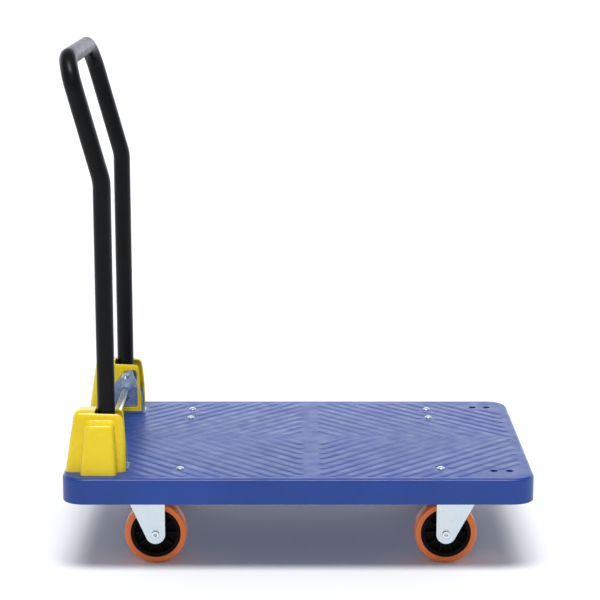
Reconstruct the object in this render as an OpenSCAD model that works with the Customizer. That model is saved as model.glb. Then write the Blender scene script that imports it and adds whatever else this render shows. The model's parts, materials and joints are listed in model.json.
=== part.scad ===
// Folding platform cart. A ribbed plastic deck stands on two swivel casters at the handle end
// and two rigid casters at the free end. A bent tube handle folds flat over the deck on two
// bolted brackets under plastic covers, and a foot bar across the brackets releases it.
// Millimetres, +Z up, the handle at -X. The origin is on the floor under the deck's middle.
// "right" is -Y and "left" is +Y, as seen by the person who pushes at the handle.

/* [Deck] */
// Length of the deck
deck_l = 740; // [620:1:900]
// Width of the deck
deck_w = 480; // [440:1:620]
// Height of the deck's skirt
deck_h = 41; // [34:0.5:60]
// Corner radius in plan
deck_corner_r = 35; // [20:1:60]
// Rounding of the top edge
deck_edge_r = 5; // [2:0.5:8]
// Wall of the skirt
deck_wall = 4; // [3:0.5:6]
// Thickness of the load skin
deck_skin = 4; // [3:0.5:6]
// Thickness of the stiffening ribs
rib_t = 3; // [2:0.5:5]
// Depth of the stiffening ribs under the load skin
rib_depth = 10; // [6:1:28]
// Largest distance between two ribs
rib_pitch_max = 80; // [50:1:100]
// Depth of the pads that carry the casters, from the top of the deck
pad_depth = 32; // [24:1:40]
// Depth of the pads that carry the handle brackets, from the top of the deck
bracket_pad_depth = 14; // [10:1:20]
// Distance of the spare bracket holes from the free end, to their middle
spare_inset = 49; // [40:1:60]
// Radius of the spare bracket holes
spare_hole_r = 6; // [4.5:0.25:7]

/* [Casters] */
// Height of a caster, from the floor to the top of its plate
caster_h = 130; // [126:1:150]
// Wheel radius over the tyre
wheel_r = 50; // [42:0.5:51]
// Width of the tyre
tyre_w = 30; // [24:0.5:34]
// Radial thickness of the tyre
tyre_t = 10; // [5:0.5:14]
// Distance of the swivel wheels' centres from the handle end of the deck
rear_wheel_inset = 141.5; // [130:0.5:180]
// Distance of the rigid wheels' centres from the free end of the deck
front_wheel_inset = 133.5; // [130:0.5:180]
// Distance of the wheel centres from the sides of the deck
wheel_side = 87; // [75:1:110]
// Distance from the swivel axis to the axle
trail = 18; // [10:1:25]
// Thickness of the caster plates and forks
fork_t = 2.5; // [2:0.25:4]
// Thickness of the caster plates
plate_t = 3; // [2:0.5:5]
// Side gap between the wheel's boss and a fork leg
boss_gap = 0.5; // [0.3:0.1:1.5]
// Radius of the fork leg around the axle
leg_r = 15.6; // [12:0.2:18]
// Radius of the swivel fork's crown
crown_r = 32; // [30:0.5:36]
// Radius of the axle pins
axle_r = 4; // [3:0.5:5]
// Wall of the axle tube that the wheel turns on
axle_tube_t = 2.95; // [2:0.05:4]
// Distance across between the bolt holes of a caster plate
plate_dy = 56; // [54:1:64]
// Distance along between the bolt holes of a swivel plate
swivel_dx = 86; // [82:1:96]
// Distance along between the bolt holes of a rigid plate
rigid_dx = 60; // [50:1:70]
// Edge margin around the holes of a caster plate
plate_margin = 10; // [8:0.5:12]
// Radius of the bearing balls
ball_r = 3; // [2.5:0.25:3.5]
// Number of bearing balls in a swivel head
ball_count = 18; // [10:1:20]

/* [Handle] */
// Radius of the handle tube
tube_r = 14; // [12:0.2:16.8]
// Wall of the handle tube
tube_t = 1.8; // [1.2:0.1:3]
// Height of the handle above the deck
handle_rise = 658; // [520:1:790]
// Height of the bend in the posts above the deck
bend_rise = 457; // [350:1:480]
// Outward lean of the top part of the handle, in degrees
handle_lean = 15.3; // [8:0.1:16]
// Centreline radius of the bends in the posts
bend_r = 75; // [50:1:120]
// Centreline radius of the two top corners
corner_r = 48; // [40:1:80]
// Distance of the posts from the end of the deck
handle_inset = 67; // [66:1:80]
// Distance of the posts' centres from the sides of the deck
handle_side = 70; // [68:1:90]

/* [Handle brackets] */
// Height of the pivot above the deck
pivot_rise = 69; // [66:0.5:76]
// Radius of the pivot shoulder
pivot_r = 5; // [4:0.5:6]
// Thickness of the bracket plates
bracket_t = 2.5; // [2:0.25:4]
// Gap between a post and a bracket plate
bracket_gap = 0.5; // [0.3:0.1:1.5]
// Radius of the foot release bar
bar_r = 6; // [5:0.25:7]
// Downward travel of the foot release bar
bar_travel = 12; // [8:0.5:14]
// Distance along between the two bolts of a bracket
bracket_dx = 25; // [24:0.5:30]
// Radius of the bracket bolts
bracket_bolt_r = 4; // [3:0.5:5]
// Distance of the bracket bolts from the outer face of a bracket plate
bracket_side = 7; // [7:0.5:9]

/* [Covers] */
// Height of a cover
cover_h = 95; // [88:1:110]
// Wall of a cover
cover_t = 3; // [2:0.25:4]
// Length of a cover at its base
cover_l = 94.5; // [90:0.5:106]
// Distance of the cover's outer face from the side of the deck, at its base
cover_side = 39; // [34:0.5:42]
// How far the outer bulge of a cover stands out at its base
bulge_out = 21; // [16:0.5:24]

/* [Fits] */
// Radial clearance of a turning fit
run_gap = 0.08; // [0.02:0.01:0.1]
// Radial clearance of a fixed fit
fix_gap = 0.05; // [0.02:0.01:0.15]
// Radial clearance of a bolt in its hole
bolt_gap = 0.5; // [0.3:0.1:1]
// Gap between two surfaces that pass each other
pass_gap = 0.5; // [0.3:0.1:1]

/* [Hidden] */

$fn = 64;
over = 1;                                   // how far a cutting solid runs past a face

deck_top = caster_h + pad_depth;
deck_bottom = deck_top - deck_h;
skin_z = deck_top - deck_skin;
inner_l = deck_l - 2 * deck_wall;
inner_w = deck_w - 2 * deck_wall;

rear_x = rear_wheel_inset - deck_l / 2;
front_x = deck_l / 2 - front_wheel_inset;
wheel_y = deck_w / 2 - wheel_side;
plate_z = caster_h - plate_t;               // underside of the caster plates
swivel_x = rear_x - trail;
tube_bush_r = axle_r + fix_gap + axle_tube_t;
boss_half = tyre_w / 2 + 3.5;               // half the length of the wheel's boss
leg_in = boss_half + boss_gap;              // inner face of a fork leg, from the wheel's middle
leg_out = leg_in + fork_t;

// Bolt holes of the caster plates. The inboard holes of the left plates and the outer inboard
// hole of the right plates take bolts from the top of the deck. The others take screws from below.
swivel_hole_dx = 59.5;                       // from the swivel axis to the inboard holes
rigid_hole_dx = 10.5;                       // from the axle back to the inboard holes
swivel_x1 = swivel_x + swivel_hole_dx;
swivel_x0 = swivel_x1 - swivel_dx;
rigid_x0 = front_x - rigid_hole_dx;
rigid_x1 = rigid_x0 + rigid_dx;
plate_bolt_r = 3;
plate_hole_r = plate_bolt_r + bolt_gap;
screw_depth = 18;                           // how deep a caster screw goes into its pad

// Nuts and washers of the caster bolts, and of the thicker bolts of the brackets and pivots
small_nut_af = 10;
small_nut_h = 6;
small_washer_t = 1.2;
nut_af = 13;
nut_h = 6.8;
nut_washer_t = 1.6;
nut_washer_r = 8;
thread_past_nut = 1.5;

bolt_places = [
    for (x = [swivel_x1, rigid_x0]) [x, -wheel_y - plate_dy / 2],
    for (x = [swivel_x1, rigid_x0], dy = [-1, 1] * plate_dy / 2) [x, wheel_y + dy]
];
screw_places = [
    for (x = [swivel_x1, rigid_x0]) [x, -wheel_y + plate_dy / 2],
    for (x = [swivel_x0, rigid_x1], y = [-1, 1] * wheel_y, dy = [-1, 1] * plate_dy / 2) [x, y + dy]
];

// Swivel head, from the plate down: upper race, balls, crown, thrust washer, king pin head
crown_gap = 3.5;
crown_t = 3;
race_depth = 7.5;
race_r_out = 28;
race_r_in = 15;
ball_ring_r = 22;
crown_top = plate_z - race_depth - crown_gap;
crown_bottom = crown_top - crown_t;
ball_z = crown_top + crown_gap / 2;
pin_r = 6;
pin_head_r = 9;
pin_head_t = 2;
pin_foot_t = 3.5;
washer_t = 2.4;
play = 0.15;                                // axial play in a bearing stack
pin_foot_top = crown_bottom - play - washer_t - play;

post_x = -deck_l / 2 + handle_inset;
post_y = deck_w / 2 - handle_side;
pivot_z = deck_top + pivot_rise;
tail_r = tube_r + 7.5;                      // radius of the post's rounded foot about the pivot
tail_cut = 15;                              // from the pivot down to the end of the tube
bend_z = deck_top + bend_rise - bend_r * tan(handle_lean / 2);
arm_x = post_x - bend_r * (1 - cos(handle_lean));
arm_z = bend_z + bend_r * sin(handle_lean);
crossbar_z = deck_top + handle_rise - tube_r;
arm_l = (crossbar_z - arm_z) / cos(handle_lean) - corner_r;

cheek_in = tube_r + bracket_gap;            // inner face of a bracket plate, from the post
cheek_out = cheek_in + bracket_t;
bar_z = pivot_z - tail_r - pass_gap - bar_r;
slot_r = bar_r + pass_gap;
stop_r = 4.5;
stop_gap = 0.3;
stop_x = post_x + tube_r + stop_r + stop_gap;
stop_z = pivot_z - tube_r - stop_r - stop_gap;
bracket_bolt_y = post_y + cheek_out + bracket_side;
bracket_bolt_x = post_x - 5;
bracket_hole_r = bracket_bolt_r + bolt_gap;
spare_x = deck_l / 2 - spare_inset;
bush_wall = 2;
pivot_thread_r = pivot_r - 1;
bush_r = pivot_r + run_gap + bush_wall;
bush_half = cheek_in - 0.2;

spring_r = 7.5;
spring_wire_r = 0.8;
spring_turns = 7;
spring_z = deck_top + bracket_t;
spring_h = bar_z - bar_r - spring_z - 0.1;

clip_t = 1.2;
clip_y = post_y + cheek_out + 1.5;
bar_half = clip_y + clip_t + 3;
groove_r = bar_r - 1.2;

pivot_head_t = 3;
pivot_head_gap = 1;                         // between a pivot bolt's head and the cover's wall
// The cover's face towards the middle of the cart
cover_in_y = post_y - cheek_out - pivot_head_t - pivot_head_gap - cover_t;
cover_out_y = deck_w / 2 - cover_side;
cover_x = -deck_l / 2 + 4;                  // end of the cover at its base
cover_end_x = cover_x + cover_l;
bulge_x0 = post_x - 38;
bulge_x1 = post_x + 18;
cover_screw_r = 2;
cover_boss_r = 4.5;
cover_boss_h = 18;
cover_screw_xy = [
    [cover_x + cover_t + cover_boss_r + 5, post_y + 2],
    [bracket_bolt_x, cover_out_y + bulge_out - cover_t - cover_boss_r - 2.5]
];

// --- shared shapes -----------------------------------------------------------------------

// Points on an arc in the plane, from angle a0 to a1
function arc(c, r, a0, a1, n) =
    [for (i = [0:n]) c + r * [cos(a0 + (a1 - a0) * i / n), sin(a0 + (a1 - a0) * i / n)]];

// The side at -Y as drawn, or mirrored to +Y
module side(left) {
    mirror([0, left ? 1 : 0, 0]) children();
}

module both_sides() {
    for (left = [false, true]) side(left) children();
}

// Box given by two opposite corners
module block(a, b) {
    translate(a) cube(b - a);
}

// Cylinder along Y between two places
module rod_y(x, z, r, y0, y1) {
    translate([x, y0, z]) rotate([-90, 0, 0]) cylinder(r = r, h = y1 - y0);
}

// Ring along Z
module ring(r_in, r_out, h) {
    difference() {
        cylinder(r = r_out, h = h);
        translate([0, 0, -over]) cylinder(r = r_in, h = h + 2 * over);
    }
}

// Six-sided bar across the flats
module hex(af, h) {
    cylinder(d = af / cos(30), h = h, $fn = 6);
}

// Nut with its bore
module nut(af, r, h) {
    difference() {
        hex(af, h);
        translate([0, 0, -over]) cylinder(r = r + fix_gap, h = h + 2 * over);
    }
}

// Low round head with a domed top, standing up from z = 0
module dome_head(r, h) {
    rotate_extrude() polygon(concat([[0, 0], [r, 0]], arc([r - 0.8, 0.6], 0.8, 0, 60, 3),
        [[r * 0.6, h * 0.93], [0, h]]));
}

// Section of a plate with a rounded top edge at both ends
module edge_profile(w, h, er) {
    polygon(concat([[-w / 2, 0], [w / 2, 0]], arc([w / 2 - er, h - er], er, 0, 90, 8),
        arc([er - w / 2, h - er], er, 90, 180, 8)));
}

// Plate with round corners in plan and a rounded top edge, standing on z = 0
module slab(l, w, h, r, er) {
    rotate([90, 0, 0]) translate([0, 0, r - w / 2])
        linear_extrude(w - 2 * r) edge_profile(l, h, er);
    rotate([90, 0, 90]) translate([0, 0, r - l / 2])
        linear_extrude(l - 2 * r) edge_profile(w, h, er);
    for (quarter = [0:3]) {
        sx = quarter == 0 || quarter == 3 ? 1 : -1;
        sy = quarter < 2 ? 1 : -1;
        translate([sx * (l / 2 - r), sy * (w / 2 - r), 0]) rotate(90 * quarter)
            rotate_extrude(angle = 90)
                polygon(concat([[0, 0], [r, 0]], arc([r - er, h - er], er, 0, 90, 8), [[0, h]]));
    }
}

// --- deck --------------------------------------------------------------------------------

module ribs() {
    count_x = ceil(inner_l / rib_pitch_max);
    count_y = ceil(inner_w / rib_pitch_max);
    low = skin_z - rib_depth;
    high = skin_z + over;
    end_x = inner_l / 2 + over;
    end_y = inner_w / 2 + over;
    for (i = [1:count_x - 1]) {
        x = -inner_l / 2 + i * inner_l / count_x;
        block([x - rib_t / 2, -end_y, low], [x + rib_t / 2, end_y, high]);
    }
    for (i = [1:count_y - 1]) {
        y = -inner_w / 2 + i * inner_w / count_y;
        block([-end_x, y - rib_t / 2, low], [end_x, y + rib_t / 2, high]);
    }
}

// Pad under the load skin around a box in plan
module pad(x0, x1, y0, y1, depth) {
    block([x0, y0, deck_top - depth], [x1, y1, skin_z + over]);
}

module deck_pads() {
    margin = plate_margin + 2;
    pad_y0 = -wheel_y - plate_dy / 2 - margin;
    pad_y1 = -wheel_y + plate_dy / 2 + margin;
    bolt_room = bracket_bolt_r * 2 + 3;
    pad_in = 42;                            // from the bolts towards the middle of the deck
    pad(swivel_x0 - margin, swivel_x1 + margin, pad_y0, pad_y1, pad_depth);
    pad(rigid_x0 - margin, rigid_x1 + margin, pad_y0, pad_y1, pad_depth);
    for (x = [bracket_bolt_x, spare_x])
        pad(x - bracket_dx / 2 - bolt_room, x + bracket_dx / 2 + bolt_room,
            -bracket_bolt_y - bolt_room, -bracket_bolt_y + pad_in, bracket_pad_depth);
}

module deck_holes() {
    low = deck_bottom - over;
    tall = deck_h + 2 * over;
    for (p = bolt_places) translate([p[0], p[1], low]) cylinder(r = plate_hole_r, h = tall);
    for (p = screw_places)
        translate([p[0], p[1], low])
            cylinder(r = plate_bolt_r + fix_gap, h = caster_h + screw_depth + over - low);
    both_sides() {
        for (hole = [[bracket_bolt_x, bracket_hole_r], [spare_x, spare_hole_r]])
            for (dx = [-1, 1] * bracket_dx / 2)
                translate([hole[0] + dx, -bracket_bolt_y, low]) cylinder(r = hole[1], h = tall);
        for (p = cover_screw_xy)
            translate([p[0], -p[1], low]) cylinder(r = cover_screw_r + bolt_gap, h = tall);
    }
}

module deck() {
    color([0.20, 0.30, 0.58]) difference() {
        union() {
            difference() {
                translate([0, 0, deck_bottom]) slab(deck_l, deck_w, deck_h, deck_corner_r, deck_edge_r);
                translate([0, 0, deck_bottom - over])
                    slab(inner_l, inner_w, deck_h - deck_skin + over, deck_corner_r - deck_wall, 2);
            }
            ribs();
            both_sides() deck_pads();
        }
        deck_holes();
    }
}

// --- handle ------------------------------------------------------------------------------

// The bent bar that the tube is made of, as a solid of radius r
module handle_bar(r, z0) {
    both_sides() {
        translate([post_x, -post_y, z0]) cylinder(r = r, h = bend_z - z0);
        translate([post_x - bend_r, -post_y, bend_z]) rotate([90, 0, 0])
            rotate_extrude(angle = handle_lean) translate([bend_r, 0]) circle(r = r);
    }
    translate([arm_x, 0, arm_z]) rotate([0, -handle_lean, 0]) {
        both_sides() {
            translate([0, -post_y, 0]) cylinder(r = r, h = arm_l);
            mirror([0, 1, 0]) translate([0, post_y - corner_r, arm_l]) rotate([90, 0, 90])
                rotate_extrude(angle = 90) translate([corner_r, 0]) circle(r = r);
        }
        rod_y(0, arm_l + corner_r, r, corner_r - post_y, post_y - corner_r);
    }
}

module handle_tube() {
    color([0.11, 0.11, 0.11]) difference() {
        handle_bar(tube_r, pivot_z - tail_cut);
        handle_bar(tube_r - tube_t, pivot_z - tail_cut - over);
        both_sides()
            rod_y(post_x, pivot_z, bush_r + fix_gap, -post_y - tube_r - over, -post_y + tube_r + over);
    }
}

// Plug in the foot of each post, rounded about the pivot
module handle_plugs() {
    plug_in = 7;
    color([0.16, 0.16, 0.16]) both_sides() translate([post_x, -post_y, pivot_z]) {
        intersection() {
            translate([0, 0, -tail_r - over]) cylinder(r = tube_r, h = tail_r + over - tail_cut);
            rod_y(0, 0, tail_r, -tube_r - over, tube_r + over);
        }
        translate([0, 0, -tail_cut - 0.5])
            cylinder(r = tube_r - tube_t - fix_gap, h = plug_in);
    }
}

module pivot_bushes() {
    color([0.62, 0.62, 0.64]) both_sides() difference() {
        rod_y(post_x, pivot_z, bush_r, -post_y - bush_half, -post_y + bush_half);
        rod_y(post_x, pivot_z, pivot_r + run_gap, -post_y - bush_half - over, -post_y + bush_half + over);
    }
}

// --- handle brackets ---------------------------------------------------------------------

// Outline of a bracket plate in X and Z, from the pivot, with its holes
module cheek_outline() {
    foot = pivot_z - deck_top;
    top_r = 15;
    difference() {
        union() {
            circle(r = top_r);
            polygon([[-top_r, 0], [top_r, 0], [29, 34 - foot], [31, -foot], [-42, -foot], [-40, 26 - foot]]);
        }
        circle(r = pivot_r + fix_gap);
        translate([stop_x - post_x, stop_z - pivot_z]) circle(r = stop_r - 1 + fix_gap);
        for (dz = [0, -bar_travel]) translate([0, bar_z - pivot_z + dz]) circle(r = slot_r);
        translate([-slot_r, bar_z - pivot_z - bar_travel]) square([2 * slot_r, bar_travel]);
    }
}

// One bracket: two cheeks, the web between them and the outward foot with the bolt holes
module bracket() {
    foot_x0 = post_x - 42;
    foot_x1 = post_x + 34;
    foot_y = post_y + cheek_out;
    color([0.74, 0.77, 0.80]) {
        difference() {
            union() {
                for (y = [-cheek_out, cheek_in])
                    translate([post_x, y - post_y + bracket_t, pivot_z]) rotate([90, 0, 0])
                        linear_extrude(bracket_t) cheek_outline();
                block([foot_x0, -foot_y, deck_top], [foot_x1, -post_y + cheek_out, deck_top + bracket_t]);
                block([bulge_x0 + 4, -bracket_bolt_y - 10, deck_top],
                    [bulge_x1 - 4, -post_y - cheek_in, deck_top + bracket_t]);
                translate([post_x, -post_y, deck_top]) cylinder(r = spring_r - 2, h = bracket_t + 5);
            }
            for (dx = [-1, 1] * bracket_dx / 2)
                translate([bracket_bolt_x + dx, -bracket_bolt_y, deck_top - over])
                    cylinder(r = bracket_hole_r, h = bracket_t + 2 * over);
        }
    }
}

module pivot_bolts() {
    head_r = 8;
    thread_end = cheek_out + nut_washer_t + nut_h + thread_past_nut;
    color([0.80, 0.82, 0.84]) both_sides() {
        rod_y(post_x, pivot_z, pivot_r, -post_y - cheek_out - nut_washer_t + 0.1, -post_y + cheek_out);
        rod_y(post_x, pivot_z, pivot_thread_r, -post_y - thread_end, -post_y - cheek_out);
        translate([post_x, -post_y + cheek_out, pivot_z]) rotate([-90, 0, 0]) dome_head(head_r, pivot_head_t);
    }
}

module pivot_washers() {
    color([0.72, 0.74, 0.77]) both_sides()
        translate([post_x, -post_y - cheek_out, pivot_z]) rotate([90, 0, 0])
            ring(pivot_r + fix_gap, nut_washer_r, nut_washer_t);
}

module pivot_nuts() {
    color([0.70, 0.72, 0.75]) both_sides()
        translate([post_x, -post_y - cheek_out - nut_washer_t, pivot_z]) rotate([90, 0, 0])
            nut(nut_af, pivot_thread_r, nut_h);
}

// Riveted cross pin that the post rests on, both upright and folded
module stop_pins() {
    neck_r = stop_r - 1;
    color([0.76, 0.78, 0.80]) both_sides() {
        rod_y(stop_x, stop_z, stop_r, -post_y - cheek_in, -post_y + cheek_in);
        rod_y(stop_x, stop_z, neck_r, -post_y - cheek_out - 1, -post_y + cheek_out + 1);
    }
}

module bracket_bolts() {
    head_t = 5.3;
    tail = bracket_t + bracket_pad_depth + nut_washer_t + nut_h + thread_past_nut;
    color([0.80, 0.82, 0.84]) both_sides() for (dx = [-1, 1] * bracket_dx / 2)
        translate([bracket_bolt_x + dx, -bracket_bolt_y, deck_top + bracket_t]) {
            hex(nut_af, head_t);
            translate([0, 0, -tail]) cylinder(r = bracket_bolt_r, h = tail);
        }
}

module bracket_washers() {
    color([0.72, 0.74, 0.77]) both_sides() for (dx = [-1, 1] * bracket_dx / 2)
        translate([bracket_bolt_x + dx, -bracket_bolt_y, deck_top - bracket_pad_depth - nut_washer_t])
            ring(bracket_bolt_r + fix_gap, nut_washer_r, nut_washer_t);
}

module bracket_nuts() {
    nut_z = deck_top - bracket_pad_depth - nut_washer_t - nut_h;
    color([0.70, 0.72, 0.75]) both_sides() for (dx = [-1, 1] * bracket_dx / 2)
        translate([bracket_bolt_x + dx, -bracket_bolt_y, nut_z]) nut(nut_af, bracket_bolt_r, nut_h);
}

module release_bar() {
    color([0.80, 0.82, 0.84]) difference() {
        rod_y(post_x, bar_z, bar_r, -bar_half, bar_half);
        both_sides() translate([post_x, -clip_y, bar_z]) rotate([90, 0, 0])
            ring(groove_r, bar_r + over, clip_t);
    }
}

module bar_clips() {
    color([0.66, 0.68, 0.70]) both_sides() translate([post_x, -clip_y - 0.05, bar_z]) rotate([90, 0, 0])
        ring(groove_r + fix_gap, bar_r + 3.5, clip_t - 0.1);
}

// Compression spring: a round wire swept along a helix whose end turns lie flat
module spring() {
    sides = 8;
    steps = spring_turns * 14;
    low = spring_wire_r;
    high = spring_h - spring_wire_r;
    function turn(i) = 360 * spring_turns * i / steps;
    function rise(i) = let (t = i / steps, e = 1 / spring_turns)
        low + (high - low) * (0.06 * min(t / e, 1) + 0.88 * max(0, min((t - e) / (1 - 2 * e), 1))
        + 0.06 * max(0, (t - 1 + e) / e));
    points = [for (i = [0:steps], k = [0:sides - 1])
        let (a = 360 * k / sides, r = spring_r + spring_wire_r * cos(a))
        [r * cos(turn(i)), r * sin(turn(i)), rise(i) + spring_wire_r * sin(a)]];
    walls = [for (i = [0:steps - 1], k = [0:sides - 1])
        let (n = (k + 1) % sides) [i * sides + k, i * sides + n, (i + 1) * sides + n, (i + 1) * sides + k]];
    caps = [[for (k = [sides - 1:-1:0]) k], [for (k = [0:sides - 1]) steps * sides + k]];
    polyhedron(points = points, faces = concat(walls, caps));
}

module release_spring(left) {
    color([0.70, 0.71, 0.73]) side(left) translate([post_x, -post_y, spring_z]) spring();
}

// --- covers ------------------------------------------------------------------------------

// Tapered block with round edges: a rectangle at the base and a smaller one at the top, whose
// edge at the +X end has a radius of its own
module tapered(x0, x1, y0, y1, top, h, r, end_r) {
    hull($fn = 32) {
        for (x = [x0 + r, x1 - r], y = [y0 + r, y1 - r]) translate([x, y, 0]) cylinder(r = r, h = 1);
        for (corner = [[x0 + top[0] + r, r], [x1 - top[1] - end_r, end_r]])
            for (y = [y0 + top[2] + corner[1], y1 - top[3] - corner[1]])
                translate([corner[0], y, h - corner[1]]) sphere(r = corner[1]);
    }
}

// Window in the cover's inner face: an upright opening with a slanted end, from the pivot
module window_outline() {
    polygon(concat(
        [[-22, -56], [-22, -19], [0, 9]],
        arc([14, 3], 8, 90, 0, 6),
        arc([17, -51], 5, 0, -90, 4)));
}

module cover_body(inset) {
    tapered(cover_x + inset, cover_end_x - inset, -cover_out_y + inset, -cover_in_y - inset,
        [14, 3, 9, 1], cover_h - inset, 10 - inset, 14 - inset);
    tapered(bulge_x0 + inset, bulge_x1 - inset, -cover_out_y - bulge_out + inset, -cover_out_y + 20,
        [7, 4, 7, 0], cover_h - 15 - inset, 7 - inset, 7 - inset);
}

module cover(left) {
    slot_y0 = -post_y - cheek_out - 1.5;
    slot_y1 = -cover_in_y - cover_t;
    slot_x = post_x - tube_r - 3;
    lift = 6;                               // from the deck to the edge of the inner face
    color([0.88, 0.78, 0.16]) side(left) translate([0, 0, deck_top]) difference() {
        union() {
            difference() {
                cover_body(0);
                translate([0, 0, -0.01]) cover_body(cover_t);
            }
            for (p = cover_screw_xy) translate([p[0], -p[1], 0]) cylinder(r = cover_boss_r, h = cover_boss_h);
        }
        block([slot_x, slot_y0, -over], [cover_end_x + over, slot_y1, cover_h + over]);
        block([slot_x, slot_y1 - over, -over], [cover_end_x + over, -cover_in_y + over, lift]);
        translate([post_x, -cover_in_y + over, pivot_rise]) rotate([90, 0, 0])
            linear_extrude(cover_t + 3) window_outline();
        for (p = cover_screw_xy)
            translate([p[0], -p[1], -over]) cylinder(r = cover_screw_r + fix_gap, h = 15 + over);
    }
}

module cover_screws() {
    head_t = 2.4;
    color([0.45, 0.46, 0.48]) both_sides() for (p = cover_screw_xy)
        translate([p[0], -p[1], skin_z]) {
            cylinder(r = cover_screw_r, h = deck_skin + 13);
            translate([0, 0, -head_t]) cylinder(r = 4, h = head_t);
        }
}

// --- casters -----------------------------------------------------------------------------

// Outline of a fork leg, with the axle at the origin. It widens towards +X up to a knee, and then
// less, up to its reach at the top.
module leg_outline(top, knee, reach) {
    tangent = 25;
    difference() {
        union() {
            circle(r = leg_r);
            polygon([[-leg_r, 0], [leg_r * cos(tangent), -leg_r * sin(tangent)], [knee, top - 8],
                [reach, top], [-leg_r, top]]);
        }
        circle(r = axle_r + fix_gap);
    }
}

// Both legs of a fork at the origin, reaching up to a height above the axle
module legs(top, knee, reach) {
    for (y = [leg_out, -leg_in])
        translate([0, y, wheel_r]) rotate([90, 0, 0])
            linear_extrude(fork_t) leg_outline(top, knee, reach);
}

// Four holes of a caster plate
module plate_holes(x0, x1) {
    for (x = [x0, x1], dy = [-1, 1] * plate_dy / 2)
        translate([x, dy, plate_z - over]) cylinder(r = plate_hole_r, h = plate_t + 2 * over);
}

// Ring of grooves for the balls
module ball_track() {
    rotate_extrude() translate([ball_ring_r, ball_z]) circle(r = ball_r + run_gap);
}

module swivel_plate(left) {
    margin = plate_margin;
    half_w = plate_dy / 2 + margin;
    color([0.78, 0.80, 0.82]) side(left) translate([0, -wheel_y, 0]) difference() {
        union() {
            block([swivel_x0 - margin, -half_w, plate_z], [swivel_x1 + margin, half_w, caster_h]);
            translate([swivel_x, 0, plate_z - race_depth])
                cylinder(r = race_r_out, h = race_depth + plate_t / 2);
        }
        plate_holes(swivel_x0, swivel_x1);
        translate([swivel_x, 0, 0]) {
            ball_track();
            cylinder(r = pin_r + fix_gap, h = caster_h + over);
            translate([0, 0, caster_h - pin_head_t - 0.1])
                cylinder(r = pin_head_r + fix_gap, h = pin_head_t + over);
            translate([0, 0, plate_z - race_depth - over])
                cylinder(r = race_r_in, h = race_depth + over);
        }
    }
}

module king_pins() {
    color([0.68, 0.70, 0.73]) both_sides() translate([swivel_x, -wheel_y, 0]) {
        translate([0, 0, caster_h - pin_head_t]) cylinder(r = pin_head_r, h = pin_head_t - 0.05);
        translate([0, 0, pin_foot_top - over]) cylinder(r = pin_r, h = caster_h - pin_foot_top);
        translate([0, 0, pin_foot_top - pin_foot_t]) cylinder(r = 10, h = pin_foot_t);
    }
}

module thrust_washers() {
    color([0.60, 0.61, 0.63]) both_sides()
        translate([swivel_x, -wheel_y, pin_foot_top + play]) ring(pin_r + fix_gap, 13, washer_t);
}

module swivel_balls() {
    color([0.85, 0.86, 0.88]) both_sides() translate([swivel_x, -wheel_y, ball_z])
        for (i = [0:ball_count - 1]) rotate(360 * i / ball_count)
            translate([ball_ring_r, 0, 0]) sphere(r = ball_r, $fn = 24);
}

module swivel_fork(left) {
    reach = trail + crown_r;
    color([0.80, 0.83, 0.85]) side(left) translate([0, -wheel_y, 0]) difference() {
        union() {
            translate([rear_x, 0, 0]) mirror([1, 0, 0]) legs(crown_top - wheel_r, reach - 7, reach);
            translate([swivel_x, 0, crown_bottom]) cylinder(r = crown_r, h = crown_t);
            block([swivel_x - crown_r, -leg_out, crown_bottom], [rear_x + leg_r, leg_out, crown_top]);
        }
        translate([swivel_x, 0, 0]) {
            ball_track();
            cylinder(r = pin_r + run_gap, h = caster_h);
        }
    }
}

module rigid_fork(left) {
    margin = plate_margin;
    half_w = plate_dy / 2 + margin;
    reach = rigid_x1 + margin - front_x;
    color([0.80, 0.83, 0.85]) side(left) translate([0, -wheel_y, 0]) difference() {
        union() {
            translate([front_x, 0, 0]) legs(plate_z + plate_t / 2 - wheel_r, reach - 4, reach);
            block([rigid_x0 - margin, -half_w, plate_z], [rigid_x1 + margin, half_w, caster_h]);
        }
        plate_holes(rigid_x0, rigid_x1);
    }
}

// Riveted axle pin along Y at the origin, with a blind bore in each head
module axle_pin() {
    head_r = 6.5;
    head_t = 2.5;
    bore_r = 2.8;
    bore_end = leg_out - 3;
    for (turn = [0, 180]) rotate([90, 0, turn]) rotate_extrude()
        polygon([[0, -over / 2], [axle_r, -over / 2], [axle_r, leg_out], [head_r, leg_out],
            [head_r, leg_out + head_t * 0.6], [head_r - 1, leg_out + head_t],
            [bore_r + 0.7, leg_out + head_t], [bore_r, leg_out + head_t - 0.7],
            [bore_r, bore_end], [0, bore_end]]);
}

module axle_tube() {
    rotate([90, 0, 0]) translate([0, 0, fix_gap - leg_in])
        ring(axle_r + fix_gap, tube_bush_r, 2 * leg_in - 2 * fix_gap);
}

module front_axles() {
    color([0.70, 0.72, 0.74]) both_sides() translate([front_x, -wheel_y, wheel_r]) axle_pin();
}

module front_axle_tubes() {
    color([0.60, 0.62, 0.64]) both_sides() translate([front_x, -wheel_y, wheel_r]) axle_tube();
}

module rear_axle(left) {
    color([0.70, 0.72, 0.74]) side(left) translate([rear_x, -wheel_y, wheel_r]) axle_pin();
}

module rear_axle_tube(left) {
    color([0.60, 0.62, 0.64]) side(left) translate([rear_x, -wheel_y, wheel_r]) axle_tube();
}

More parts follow.
